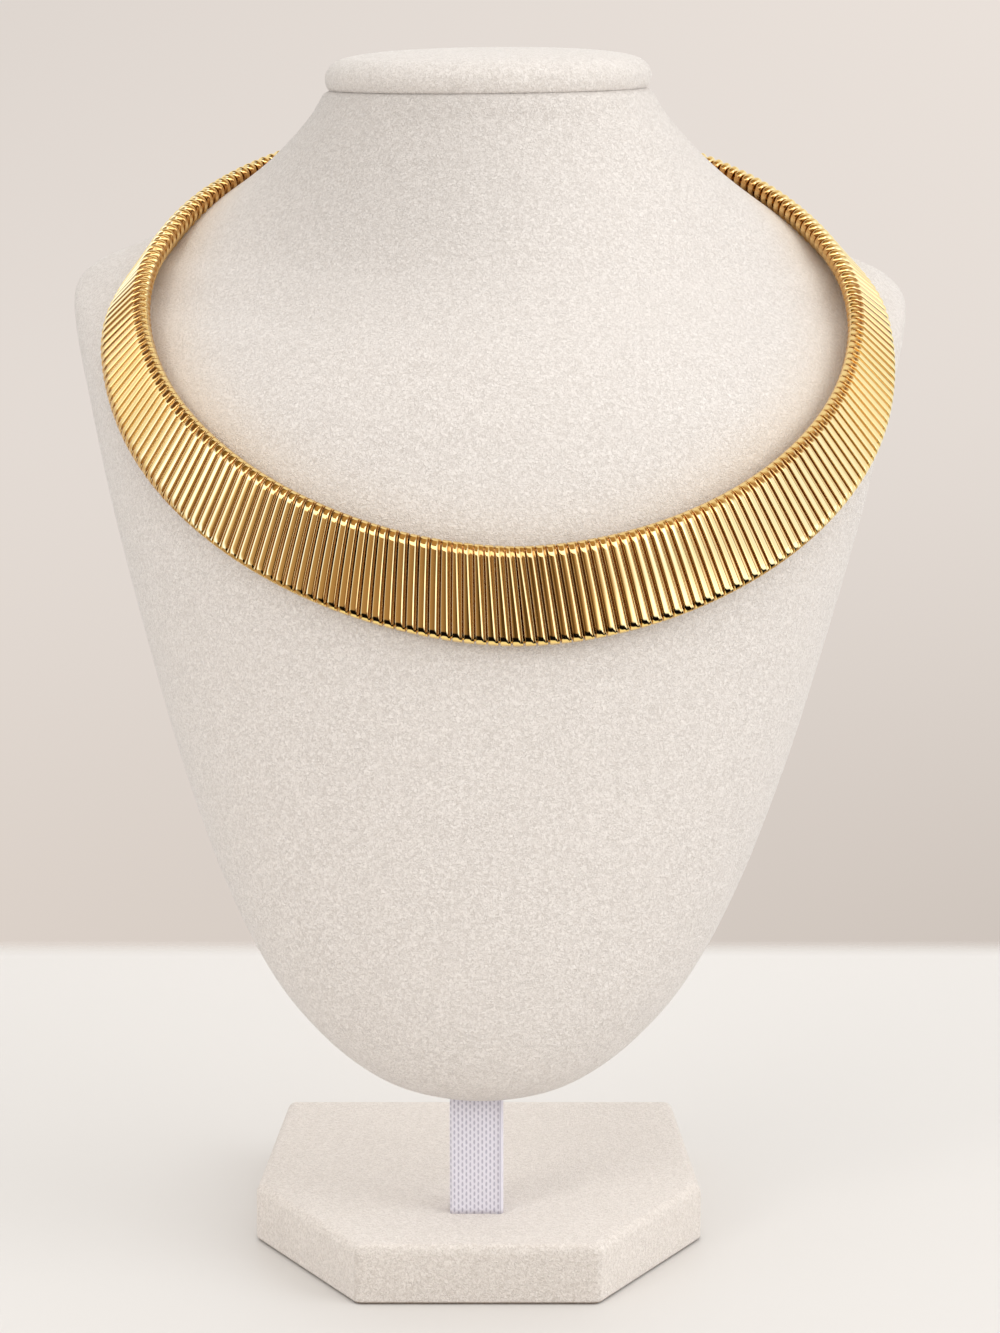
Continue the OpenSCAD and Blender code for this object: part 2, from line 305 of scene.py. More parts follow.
def wovenTape(name, look):
    # UV is in millimetres: u round the tape, v up it. Holes stand in brick order: the row of each cell
    # shifts by half a cell on every other column. hole = (|u'| / holeWide)^2 + (|v'| / holeHigh)^2 < 1
    material, nodes, shader = newMaterial(name)
    uv = nodes.add("ShaderNodeUVMap", {"uv_map": "along"}).outputs[0]
    sideways, up, _ = nodes.parts(uv)
    u = nodes.math("MULTIPLY_ADD", nodes.noise(uv, 1.2, 2.0), look["wobble"], sideways)
    column = nodes.math("DIVIDE", u, look["across"])
    odd = nodes.times(nodes.math("FLOORED_MODULO", nodes.math("FLOOR", column), 2.0), 0.5)
    row = nodes.math("ADD", nodes.math("DIVIDE", up, look["up"]), odd)

    def fromMiddle(cell):  # |the cell's fraction - 0.5|
        return nodes.math("ABSOLUTE", nodes.math("SUBTRACT", nodes.math("FRACT", cell), 0.5))

    far = [nodes.math("POWER", nodes.math("DIVIDE", fromMiddle(cell), half), 2.0)
           for cell, half in ((column, look["holeWide"]), (row, look["holeHigh"]))]
    thread = nodes.step(nodes.math("ADD", *far), 0.3, 1.7)
    ribs = fromMiddle(nodes.math("DIVIDE", u, look["rib"]))
    # the selvage, the last millimetre of the front, is plain, with a dark line at its start
    thread = nodes.math("MAXIMUM", thread, nodes.window(sideways, *look["selvage"], 0.05))
    line = nodes.times(nodes.window(sideways, *look["line"], 0.08), 0.8)
    thread = nodes.times(thread, nodes.math("SUBTRACT", 1.0, line))
    shade = nodes.math("MULTIPLY_ADD", nodes.noise(uv, 9.0, 2.0), 0.25, nodes.times(thread, 0.85))
    height = nodes.math("MULTIPLY_ADD", ribs, 0.25, thread)
    nodes.fill(shader, Base_Color=nodes.mix(shade, look["hole"], look["thread"]), Roughness=look["roughness"],
               Sheen_Weight=look["sheen"], Normal=nodes.bump(height, look["bump"], look["height"]))
    return material


steelLook = {"dark": (0.5, 0.5, 0.5), "light": (0.66, 0.66, 0.65), "drawn": (2000, 2000, 60), "roughness": (0.25, 0.45)}


def brushedSteel(name, look):
    # Noise drawn out along Z runs the colour from dark to light and the roughness between its two limits
    material, nodes, shader = newMaterial(name)
    drawn = nodes.add("ShaderNodeMapping", Vector=nodes.place(), Scale=look["drawn"]).outputs[0]
    grain = nodes.noise(drawn, 1.0, 3.0)
    low, high = look["roughness"]
    rough = nodes.add("ShaderNodeMapRange", Value=grain, To_Min=low, To_Max=high).outputs[0]
    nodes.fill(shader, Base_Color=nodes.mix(grain, look["dark"], look["light"]), Roughness=rough, Metallic=1.0)
    return material


gold = polishedMetal("gold", goldLook)
goldCore = polishedMetal("goldCore", coreLook)
goldClasp = polishedMetal("goldClasp", claspLook)
bustVelvet = velvet("bustVelvet", velvetLook)
capVelvet = velvet("capVelvet", capLook)
footVelvet = velvet("footVelvet", footLook)
tape = wovenTape("tape", tapeLook)
steel = brushedSteel("steel", steelLook)
print("materials made")


def finishPiece(piece, material, node):  # its material, body, slot, and the CAD node that it stands for
    piece.data.materials.append(material)
    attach(piece, "root")
    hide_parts(node)
    print(piece.name, "made,", len(piece.data.polygons), "faces")


# Lengths are in millimetres and places in degrees round the loop: 0 in front, minus on the left, 180 at the clasp.
# A range of two places is where something starts and is full, and two more where it fades and is gone.
collar = {
    "bandFront": 19.5, "bandBack": 3.2,  # the band's width
    "bandReach": 164, "bandCurve": 1.65,  # where it is down to bandBack
    "thick": 3.2,
    "half": 76.2, "front": 66.0, "back": 63.0,  # half the loop's width, and its reach to front and back
    "low": 141.5, "rise": 85.0, "riseCurve": 0.91,
    "turn": 3.3, "shift": 4.3, "middle": 65.8,
    "slope": 89.0, "slopeCurve": 0.97,
    "ribs": 224,
    # place, degrees by which the ribs lean there
    "lean": [(-150, 6), (-90, 9), (-75, 10.5), (-60, 8), (-48, 7.2), (-38, 7.7), (-30, 8.5), (-17, 10), (-8, 6.5),
             (2, 5.5), (10, 3), (20, 2.3), (35, 2.7), (48, 2.5), (65, 1.7), (150, 3)],
    "claspPlaces": 8,  # ribs that the clasp takes the place of
    "crown": 0.03,  # bulge of the band's face in front, as a share of its half width
    "crownLoss": 0.8, "crownRange": (25, 50),  # the share of it that goes beside the front
    "endLength": 2.1, "endSteps": 10,  # from the end of the face to the band's edge
    "metal": 0.85, "grooveDepth": 0.8,  # the metal is a share of the pitch
    "crest": 1.08,  # from the rib's left side to its step
    "crestShift": 0.48,  # the step's drift to the left at the inner edge, on the few twisted ribs in front
    "twisted": (-12, -9, 0.5, 3),
    "faceCurve": 0.11, "ledgeRise": 0.32,
    # shares of the end's length where step and ledge fade, and by how much and where the grooves get shallower
    "stepInner": (0.56, 0.98), "stepOuter": (0.35, 0.7),
    "shallowInner": (0.7, 0.25, 0.94), "shallowOuter": (0.3, 0.5, 0.94),
    "side": (40, 90), "sideDeep": 0.85,  # from here they stay deep over the inner edge
    "channel": 0.2,  # depth of the channel along the inner edge, beside the front
    "channelAt": 0.36, "channelWidth": 0.24,  # shares of the end's length
    "channelLeft": (46, 64), "channelRight": (28, 48), "channelEnd": (85, 115),
    "oval": (0.02, 0.3, 1.0, 1.35),  # where the channel's oval of painted shade lies, in millimetres across a rib
    "bead": 0.7, "beadFrom": (75, 110),  # how round the turns get at the back
    "backHinge": 1.6,  # the band turns over about a line this far from its inner edge
    "backTurn": 24.0,  # by so many degrees behind the sides
    "backTurnRange": (92, 122, 145, 175), "backTurnShift": 3,  # its first two places are this much further right
    "backThick": 1.3, "backLong": 0.4,  # how much thicker the inner edge is there, and how much longer the ends
    "backThickRange": (75, 100, 120, 155),
    "seeds": (7, 11),
    "tiltSpread": 0.35,  # degrees by which one rib differs from the next
    "bowWaves": 4.5,
    "uneven": 2.2, "unevenRange": (50, 62, 84, 100),  # and how much more on the left
}

# the hollow mark, painted shade in the ribs' grooves, hollows and undersides, from 0 on open metal up to most
ribShade = {
    "flat": 0.35,  # the share of it that is left beyond the face
    "twisted": 0.45,  # how much less on the twisted ribs, then at the sides, the right and the left
    "sides": (0.78, (45, 68, 80, 105)),
    "right": (0.4, (6, 16, 45, 68)),
    "left": (0.35, (26, 36, 45, 60)),
    "ledges": (1.1, -0.2), "ledgesAt": -26, "ledgesReach": (8, 18),  # more at the inner edge
    "rim": 1.1,  # grooves over the inner edge behind the front
    "under": 0.5, "underRange": (-0.45, 0.75),  # painted shade on the underside of that edge, by how far it faces down
    "outer": 0.36, "outerRange": (45, 58, 85, 105),  # painted shade on the outer ends on the left
    "channel": 1.05,
    "most": 1.6,
}


def loopMiddle(t):
    # x = half sin t, y = -(front or back) cos t, turned by turn; z = low + rise ((1 - cos t) / 2)^riseCurve
    a, turn = np.radians(t), math.radians(collar["turn"])
    cos, sin = math.cos(turn), math.sin(turn)
    x = collar["half"] * np.sin(a)
    y = -np.where(np.cos(a) > 0, collar["front"], collar["back"]) * np.cos(a)
    z = collar["low"] + collar["rise"] * ((1 - np.cos(a)) / 2) ** collar["riseCurve"]
    back = collar["middle"] - footDepth / 2
    return np.stack([collar["shift"] + x * cos - y * sin, back + x * sin + y * cos, z], -1)


def loopFrame(t):
    # Along the loop, towards the outer edge, out of the face; the face slopes by slope ((1 + cos t) / 2)^slopeCurve
    along = unit(loopMiddle(t + 0.05) - loopMiddle(t - 0.05))
    level = unit(np.stack([along[..., 1], -along[..., 0], 0 * along[..., 0]], -1))
    down = np.cross(along, level)
    slope = np.radians(collar["slope"] * ((1 + np.cos(np.radians(t))) / 2) ** collar["slopeCurve"])[..., None]
    return along, level * np.cos(slope) + down * np.sin(slope), level * np.sin(slope) - down * np.cos(slope)


def bandFrame(t):
    # The loop's frame turned about the band's inner edge: edge' = edge cos a - face sin a,
    # face' = face cos a + edge sin a, middle' = middle + (width / 2 - hinge) (edge' - edge)
    along, edge, face = loopFrame(t)
    start, full, fade, gone = collar["backTurnRange"]
    behind = smoothStep(np.abs(t - collar["backTurnShift"]), start, full) * (1 - smoothStep(np.abs(t), fade, gone))
    a = np.radians(collar["backTurn"] * behind)[..., None]
    newEdge, newFace = edge * np.cos(a) - face * np.sin(a), face * np.cos(a) + edge * np.sin(a)
    hinge = np.maximum(bandWidth(t) / 2 - collar["backHinge"], 0)[..., None]
    return loopMiddle(t) + hinge * (newEdge - edge), along, newEdge, newFace


def bandWidth(t):  # back + (front - back) max(0, 1 - (|t| / reach)^curve)
    narrower = (np.abs(t) / collar["bandReach"]) ** collar["bandCurve"]
    return collar["bandBack"] + (collar["bandFront"] - collar["bandBack"]) * np.maximum(0, 1 - narrower)


loopDegrees = np.arange(-180.0, 181.0)
loopSteps = np.linalg.norm(np.diff(loopMiddle(loopDegrees), axis=0), axis=1)
loopLength = np.concatenate([[0], np.cumsum(loopSteps)])
ribPitch = loopLength[-1] / collar["ribs"]


def ribProfile(crest):
    # Across one rib, from groove to groove, in millimetres: wall, round corner, face with depth
    # faceCurve (x - crest / 2)^2, a step down beyond the crest, a ledge that rises again, corner, wall.
    # Returns x, that depth, the depth of a plain rib with the same corners, and the painted shade of each place
    # (hollow).
    metal, floor, curve = collar["metal"] * ribPitch, collar["grooveDepth"], collar["faceCurve"]
    one = np.ones_like(crest)
    rows = [((metal - ribPitch) / 2 * one, floor * one, floor, 1), (-0.02 * one, floor * one, floor, 1)]
    for x, down, hollow in ((0, 0.24, 0.8), (0.02, 0.11, 0.3), (0.06, 0.045, 0.05), (0.12, 0.012, 0)):
        rows.append((x * one, down + curve * (x - crest / 2) ** 2, down, hollow))
    for share in (0.3, 0.6, 0.9):
        x = 0.12 + (crest - 0.12) * share
        rows.append((x, curve * (x - crest / 2) ** 2, 0, 0))
    for x, down, hollow in ((0, 0, 0), (0.03, 0.006, 0), (0.075, 0.027, 0), (0.15, 0.066, 0), (0.22, 0.105, 0),
                            (0.26, 0.13, 0.05), (0.29, 0.21, 0.6), (0.315, 0.33, 0.95), (0.34, 0.36, 0.6)):
        rows.append((crest + x, down + curve * (crest / 2 + x) ** 2, 0, hollow))
    start, low = rows[-1][:2]
    end = metal - 0.1
    rise = collar["ledgeRise"] * (end - start)
    rows.append(((start + end) / 2, low - rise / 2, 0, 0.45))
    for back, corner, hollow in ((0.1, 0, 0.3), (0.05, 0.012, 0.15), (0.02, 0.045, 0.3), (0, 0.12, 0.7)):
        rows.append(((metal - back) * one, low - rise + corner, corner, hollow))
    rows.append(((metal + 0.02) * one, floor * one, floor, 1))
    x, shaped, plain, hollow = zip(*rows)
    plain, hollow = (np.array(v, float)[:, None, None] for v in (plain, hollow))
    return np.stack(x) - metal / 2, np.stack(shaped), plain, hollow


def bandOutline(wide, reach, crown, thicker):
    # Half ellipses, half the thickness by wide / 2 - reach, at both ends of a face that bulges by
    # crown reach (1 - (e / reach)^2) and a flat back. The face is higher by thicker. Returns e, f, outward normals.
    turn = np.linspace(-np.pi / 2, np.pi / 2, collar["endSteps"] + 1)
    flat = np.array([0.95, 0.7, 0.35, 0, -0.35, -0.7, -0.95])
    back = np.array([-0.5, 0.5])
    r = (collar["thick"] + thicker) / 2
    end = wide / 2 - reach
    bulge = r + crown * reach * (1 - flat ** 2)
    one = np.ones_like(reach)
    ne, nf = r * np.cos(turn) * one, end * np.sin(turn)
    size = np.hypot(ne, nf)
    e = np.hstack([reach + end * np.cos(turn), reach * flat, -reach - end * np.cos(turn), reach * back])
    f = np.hstack([r * np.sin(turn), bulge, -r * np.sin(turn), -r + 0 * back]) + thicker / 2
    ne = np.hstack([ne / size, 0 * one * flat, -ne / size, 0 * one * back])
    nf = np.hstack([nf / size, one + 0 * flat, -nf / size, one * [-1, -1]])
    return e, f, ne, nf


def ribSurface(place, wide, reach, end, e, nf, chance):
    # depth = relief x the shaped profile + (1 - relief) x the plain one, with the channel, the bead
    # and each rib's own tilt, offset x tan(tilt + bow sin(waves e / wide + phase)), added; relief is 1 on the face
    # and 0 at the band's edges. Returns the place across the rib, the depth and the hollow mark of painted shade.
    def overEnd(e, start, full):  # a smooth step between two shares of the end
        return smoothStep(e, reach + start * end, reach + full * end)

    left, away = -place, np.abs(place)
    twisted = between(place, *collar["twisted"])
    inward = np.clip(0.5 - e / (2 * reach + 0.01), 0, 1)
    offset, shaped, plain, hollow = ribProfile(collar["crest"] - collar["crestShift"] * twisted * inward)
    relief = (1 - overEnd(e, *collar["stepOuter"])) * (1 - overEnd(-e, *collar["stepInner"]))
    relief = relief * smoothStep(reach, 0.3, 2.5)
    # the grooves run out shallow at the inner edge in front and at the outer edge
    side = smoothStep(away, *collar["side"])
    (inner, *innerAt), (outer, *outerAt) = collar["shallowInner"], collar["shallowOuter"]
    shallow = 1 - inner * (1 - collar["sideDeep"] * side) * overEnd(-e, *innerAt) - outer * overEnd(e, *outerAt)
    depth = relief * shaped + (1 - relief) * plain * shallow

    # less painted shade at the sides, on the right and on the left
    lighter = 1
    for part, where in (("sides", away), ("right", place), ("left", left)):
        share, limits = ribShade[part]
        lighter = lighter - share * between(where, *limits)
    beyond = ribShade["flat"] + (1 - ribShade["flat"]) * relief
    hollow = hollow * beyond * (1 - ribShade["twisted"] * twisted) * lighter
    # painted shade: on the left the ledges darken towards the inner edge
    ledges = 1 - smoothStep(np.abs(place - ribShade["ledgesAt"]), *ribShade["ledgesReach"])
    more, less = ribShade["ledges"]
    hollow = np.clip(hollow * (1 + (more * inward + less) * ledges), 0, ribShade["most"])
    # painted shade: behind, the grooves are dark down to the inner edge, and its underside is darker
    rim = (1 - relief) * side * (e < 0)
    under = ribShade["under"] * smoothStep(-nf, *ribShade["underRange"])
    hollow = hollow * (1 - rim) + rim * np.maximum(ribShade["rim"] * smoothStep(plain, 0.03, 0.3), under)
    # painted shade: on the left the outer ends are darker
    outerShade = smoothStep(e, reach - 1, reach + 0.4 * end) * between(left, *ribShade["outerRange"])
    hollow = np.maximum(hollow, ribShade["outer"] * outerShade)

    # the channel shows as one dark oval of painted shade on each turn, between bright ledges
    channel = bell(-e - reach - collar["channelAt"] * end, collar["channelWidth"] * end)
    begun = np.where(place < 0, smoothStep(left, *collar["channelLeft"]), smoothStep(place, *collar["channelRight"]))
    channel = channel * (begun * (1 - smoothStep(away, *collar["channelEnd"])))
    across = offset + collar["metal"] * ribPitch / 2
    hollow = np.maximum(hollow, ribShade["channel"] * channel * between(across, *collar["oval"]))
    depth = depth + collar["channel"] * channel
    depth = depth + collar["bead"] * offset ** 2 * smoothStep(away, *collar["beadFrom"])

    uneven = 1 + collar["uneven"] * between(left, *collar["unevenRange"])
    tilt, bow = chance.normal(0, collar["tiltSpread"], (2, *place.shape)) * uneven
    phase = chance.uniform(0, 2 * np.pi, place.shape)
    angle = np.radians(tilt + bow * np.sin(e / wide * collar["bowWaves"] + phase))
    onMetal = 1 - smoothStep(np.abs(offset), 0.38 * ribPitch, 0.405 * ribPitch)
    return offset, depth + offset * onMetal * np.tan(angle), hollow


def ribbedBand(name, firstRib, lastRib, seed):
    # One fluted tube: point = middle + edge (e cos lean - depth ne) + along e sin lean + face (f - depth nf)
    ribs = np.arange(firstRib, lastRib + 1)[:, None]
    place = np.interp((ribs + 0.5) * ribPitch, loopLength, loopDegrees)
    wide = bandWidth(place)
    behind = between(np.abs(place), *collar["backThickRange"])
    end = np.minimum(collar["endLength"] + collar["backLong"] * behind, wide / 2)
    reach = wide / 2 - end
    crown = collar["crown"] * (1 - collar["crownLoss"] * smoothStep(np.abs(place), *collar["crownRange"]))
    e, f, ne, nf = bandOutline(wide, reach, crown, collar["backThick"] * behind)
    offset, depth, hollow = ribSurface(place, wide, reach, end, e, nf, np.random.default_rng(seed))
    s = (ribs + 0.5) * ribPitch + offset

    def stations(grid):  # profile step, rib, column -> row along the loop, column, with the last row twice
        rows = np.broadcast_to(grid, offset.shape).transpose(1, 0, 2).reshape(-1, offset.shape[2])
        return np.vstack([rows, rows[-1:]])

    s, depth, hollow, e, f, ne, nf = (stations(grid) for grid in (s, depth, hollow, e, f, ne, nf))
    s[0], s[-1] = firstRib * ribPitch, (lastRib + 1) * ribPitch
    t = np.interp(s, loopLength, loopDegrees)
    middle, along, edge, face = bandFrame(t)
    lean = np.radians(np.interp(t, *zip(*collar["lean"])))
    outward = (e * np.cos(lean) - depth * ne)[..., None] * edge
    sideways = (e * np.sin(lean))[..., None] * along
    upward = (f - depth * nf)[..., None] * face
    return closedSkin(name, middle + outward + sideways + upward, hollow=hollow)


core = {"narrower": 1.7, "least": 0.6, "thickness": (0.5, 0.6), "end": 178}  # half sizes; end is a place


def coreStrip():
    # A flat strip inside the ribs with bevelled edges: middle + e edge + f face, with e up to width / 2 - narrower
    # and f up to the larger thickness, the smaller at the edges
    t = np.linspace(-core["end"], core["end"], 2 * core["end"] + 1)
    middle, _, edge, face = bandFrame(t)
    half = np.maximum(bandWidth(t) / 2 - core["narrower"], core["least"])[:, None, None]
    thin, thick = core["thickness"]
    corners = np.array([[1, thin], [0.98, thick], [-0.98, thick], [-1, thin],
                        [-1, -thin], [-0.98, -thick], [0.98, -thick], [1, -thin]])
    grid = middle[:, None] + half * corners[:, :1] * edge[:, None] + corners[:, 1:] * face[:, None]
    return closedSkin("collarCore", grid)


clasp = {
    "around": 48,
    # distance from the middle, radius: a rounded end, a fine groove by it, and one in the middle
    "profile": [(8.19, 0.72), (8.19, 1.35), (8.1, 1.6), (7.9, 1.8), (7.6, 1.93), (7.1, 1.98), (7.0, 1.82),
                (6.9, 1.98), (6.6, 1.98), (6.5, 1.82), (6.4, 1.98), (0.18, 2.0), (0.1, 1.8)],
}


def barrel():
    # Lathe at the back of the loop: middle + x along + radius(x) (edge cos a + face sin a), the same to both sides
    half = np.array(clasp["profile"])
    x, radius = np.vstack([half * [-1, 1], half[::-1]]).T
    turn = np.radians(np.arange(clasp["around"]) * 360 / clasp["around"])
    back = np.array([180.0])
    along, edge, face = loopFrame(back)
    ring = radius[:, None, None] * (np.cos(turn)[:, None] * edge + np.sin(turn)[:, None] * face)
    return closedSkin("claspBarrel", loopMiddle(back) + x[:, None, None] * along[0] + ring)


halfway, ends, (leftSeed, rightSeed) = collar["ribs"] // 2, collar["claspPlaces"] // 2, collar["seeds"]
last = collar["ribs"] - 1 - ends
finishPiece(ribbedBand("collarRibsLeft", ends, halfway - 1, leftSeed), gold, "ribs_left")
finishPiece(ribbedBand("collarRibsRight", halfway, last, rightSeed), gold, "ribs_right")
finishPiece(barrel(), goldClasp, "clasp")
finishPiece(coreStrip(), goldCore, "core")


bust = {
    "lean": 0.9, "leanHeight": 40.0,
    "topShift": -1.2,  # the neck's top stands this far to the right of its middle line
    "topTip": 0.026,  # and rises by this much for each millimetre to the right
    "topFrom": (200, 236),
    "fold": 0.35, "foldDrop": 2.6, "foldWidth": 1.3,  # the soft fold under the cap
    "foldAt": 0.35, "foldReach": 0.55,  # its middle and reach round the neck, in radians from the front to the right
    "gathers": ((0.35, 41, 0), (0.25, 67, 1)),  # share of the fold, how many round the neck, phase
    "roll": 0.9, "rollHeight": 1.1,  # the top edge rolls inwards by roll over its last rollHeight
    "glowReach": 8.0,  # how far from the band the gold's painted reflected light reaches on the velvet
    "glowFront": 0.35, "glowSides": (25, 60),  # its share in front; it is full at the sides
    "glowEnd": 130,  # a place on the loop
    "steps": 12, "around": 320,
    # height, half width, front, widest place, back, front pull, back pull
    "sections": [
        [35.9, 0, 22, 22, 22, 0, 0], [37.6, 12.5, 14.5, 22.5, 31, 0, -0.1], [41.4, 22.2, 9, 24, 37, 0, -0.2],
        [48.8, 32.2, 5, 26.5, 42, 0, -0.3], [60, 42, 2.5, 30, 47, 0, -0.4], [77, 51.6, 1.2, 36, 55.5, 0, -0.4],
        [100, 61, 1, 44, 67, 0, -0.4], [125, 69.3, 1.8, 53, 80, 0, -0.4], [150, 77, 3.2, 63, 93.5, 0.05, -0.4],
        [170, 83.2, 9.9, 79, 105, 0.12, -0.3], [183.5, 87.8, 18.8, 95.5, 113, 0.36, -0.2],
        [191, 89, 27, 107.5, 118.5, 0.54, -0.15], [196.2, 84.6, 33, 111, 122.6, 0.55, -0.15],
        [200.8, 74.6, 38, 110, 125.2, 0.46, -0.15], [209, 60.5, 44.8, 105.5, 126.4, 0.3, -0.08],
        [218, 48.1, 52, 100.5, 126.8, 0.14, -0.06], [228, 38.4, 58.8, 96, 126.4, 0, -0.05],
        [234.6, 34.2, 61.3, 95, 125.2, 0, 0],
    ],
}
topHeight, topHalf, topFront, topSide, topBack = bust["sections"][-1][:5]


def leaning(points):
    # Turn by lean about the Y axis through leanHeight: x' = x cos + z sin + topShift s,
    # z' = z cos - x sin + topTip x s, where s goes from 0 below the neck to 1 at its top
    lean, middle = math.radians(bust["lean"]), bust["leanHeight"]
    cos, sin = math.cos(lean), math.sin(lean)
    x, z = points[..., 0], points[..., 2] - middle
    share = smoothStep(points[..., 2], *bust["topFrom"])
    return np.stack([x * cos + z * sin + bust["topShift"] * share, points[..., 1] - footDepth / 2,
                     middle - x * sin + z * cos + bust["topTip"] * x * share], -1)


def sectionRing(rows, turn):
    # x = w sin a; y = side -+ reach cos a (1 - pull sin^2 a), with the front or back reach and pull
    high, half, front, side, back, frontPull, backPull = (rows[:, k:k + 1] for k in range(7))
    ahead = np.cos(turn) >= 0
    reach = np.where(ahead, side - front, back - side)
    pull = np.where(ahead, frontPull, backPull)
    x = half * np.sin(turn)
    y = side - reach * np.cos(turn) * (1 - pull * np.sin(turn) ** 2)
    return np.stack([x, y, high + 0 * x], -1)


def paintedGoldBounce(points):
    # Painted reflected light: how much the gold beside it tints the cloth: exp(-(distance to the band's inner edge /
    # reach)^2), less in front
    t = np.arange(-bust["glowEnd"], bust["glowEnd"] + 1.0, 2)
    middle, _, edge, _ = bandFrame(t)
    rim = middle - edge * (bandWidth(t) / 2 - 0.5)[:, None]
    squared = (points ** 2).sum(1)[:, None] + (rim ** 2).sum(1) - 2 * points @ rim.T
    apart = np.sqrt(np.maximum(squared, 0)).min(1)
    aside = smoothStep(np.abs(points[:, 0]), *bust["glowSides"])
    return bell(apart, bust["glowReach"]) * (bust["glowFront"] + (1 - bust["glowFront"]) * aside)


def neckSkin():
    # Smooth curves through the sections, plus a soft fold exp(-(d / foldWidth)^2) with faint gathers, less a small
    # roll inwards under the cap
    tip, nextRow = np.array(bust["sections"][:2], float)
    before = nextRow * [1, -1, 1, 1, 1, 1, 1]  # the row before the tip is the next one turned half round
    before[2:5] = 2 * tip[3] - nextRow[2:5]
    rows = throughPoints(bust["sections"], bust["steps"], before)[1:]
    turn = np.radians(np.arange(bust["around"]) * 360 / bust["around"])
    grid = sectionRing(rows, turn)
    roll = bust["roll"] * smoothStep(rows[:, :1], topHeight - bust["rollHeight"], topHeight) ** 2
    aside = np.mod(turn - bust["foldAt"] + np.pi, 2 * np.pi) - np.pi
    fold = bell(rows[:, :1] - topHeight + bust["foldDrop"], bust["foldWidth"]) * bell(aside, bust["foldReach"])
    gathers = sum(share * np.sin(times * turn + phase) for share, times, phase in bust["gathers"])
    fold = bust["fold"] * fold * (1 + gathers)
    away = grid - np.array([0, topSide, 0])
    away[..., 2] = 0
    grid = leaning(grid + unit(away + 1e-9) * (fold - roll)[..., None])
    return closedSkin("neckForm", grid, glow=paintedGoldBounce(grid.reshape(-1, 3)).reshape(grid.shape[:2]))


finishPiece(neckSkin(), bustVelvet, "neck_form")


cap = {
    "half": 34.3, "high": 8.6, "gap": 0.01,  # the gap is over the neck's top
    "around": 180,
    "seamAt": 70.0, "seamDepth": 0.35, "seamWidth": 0.7,  # seamAt counts in degrees from the front to the right
    # share of the half width, share of the height, from the underside to the crown
    "profile": [[0.93, 0], [0.975, 0.01], [0.995, 0.14], [1, 0.3], [0.99, 0.47], [0.955, 0.64], [0.88, 0.78],
                [0.7, 0.9], [0.4, 0.975], [0.06, 1]],
}


def capSkin():
    # Oval rings of share p at height q; the cloth's join is a groove of depth seamDepth exp(-(d / seamWidth)^2)
    rows = throughPoints(cap["profile"], 6)
    turn = np.radians(np.arange(cap["around"]) * 360 / cap["around"])
    reach = np.where(np.cos(turn) >= 0, topSide - topFront, topBack - topSide) + cap["half"] - topHalf
    away = np.radians(np.mod(np.degrees(turn) - cap["seamAt"] + 180, 360) - 180) * cap["half"]
    groove = cap["seamDepth"] * bell(away, cap["seamWidth"]) * smoothStep(rows[:, :1], 0.3, 0.8)
    drawnIn = rows[:, :1] * (1 - groove / cap["half"])
    x = cap["half"] * drawnIn * np.sin(turn)
    y = topSide - reach * drawnIn * np.cos(turn)
    z = topHeight + cap["gap"] + cap["high"] * rows[:, 1:] + 0 * x
    return closedSkin("neckCap", leaning(np.stack([x, y, z], -1)))


capPiece = capSkin()
finishPiece(capPiece, capVelvet, "neck_cap")


# the tape round the post: soft is its corners' radius, selvage how proud the woven edge stands and from where
post = {"wide": 10.6, "thick": 6.0, "shift": -0.4, "front": 21.0, "low": 12.0, "high": 80.0, "soft": 0.7,
        "selvage": 0.18, "selvageFrom": (4.25, 4.4), "around": 160, "rows": 60}


def tapeSkin():
    # Rounded rectangle carried up the post; u runs round it from the back's middle, v up it, both in millimetres
    wide, thick, soft = post["wide"], post["thick"], post["soft"]
    corners = np.array([[1, 1], [-1, 1], [-1, -1], [1, -1]])
    turn = np.radians(np.linspace(0, 90, 6) + np.array([[0], [90], [180], [270]]))
    inner = corners * [wide / 2 - soft, thick / 2 - soft]
    arcs = (inner[:, None] + soft * np.stack([np.cos(turn), np.sin(turn)], -1)).reshape(-1, 2)
    closed = np.vstack([[0, thick / 2], arcs[6:], arcs[:6], [0, thick / 2]])
    length = np.concatenate([[0], np.cumsum(np.linalg.norm(np.diff(closed, axis=0), axis=1))])
    u = np.linspace(0, length[-1], post["around"] + 1)
    outline = np.stack([np.interp(u, length, closed[:, k]) for k in range(2)], -1)
    normal = unit(np.stack([np.gradient(outline[:, 1]), -np.gradient(outline[:, 0])], -1))
    proud = post["selvage"] * smoothStep(outline[:, :1], *post["selvageFrom"]) * (outline[:, 1:] < -thick / 4)
    outline = outline + normal * proud * np.sign(np.sum(normal * outline, 1, keepdims=True))
    z = np.linspace(post["low"], post["high"], post["rows"])[:, None]
    x, y = (outline[:-1] + [post["shift"], post["front"] + thick / 2 - footDepth / 2]).T
    grid = np.stack(np.broadcast_arrays(x, y, z), -1)
    # the front's left edge lies half the tape's width and its thickness round from the back's middle
    return closedSkin("postTape", grid, np.stack(np.broadcast_arrays(u - wide / 2 - thick, z), -1))


finishPiece(tapeSkin(), tape, "post_tape")
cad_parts["post"].material_slots[0].material = steel


foot = {
    "high": 12.0,
    "corners": [[-24, 0], [24, 0], [46, 41], [42.5, 103], [-42.5, 103], [-46, 41]],
    "cornerRadius": 2.0, "topRadius": 2.0, "bottomRadius": 1.0,
    "sidePoints": 16,
    "middle": (0, 52.0),
    "rings": [0.03, 0.2, 0.4, 0.6, 0.8, 0.93],  # shares of the way out from the middle, on both faces
}


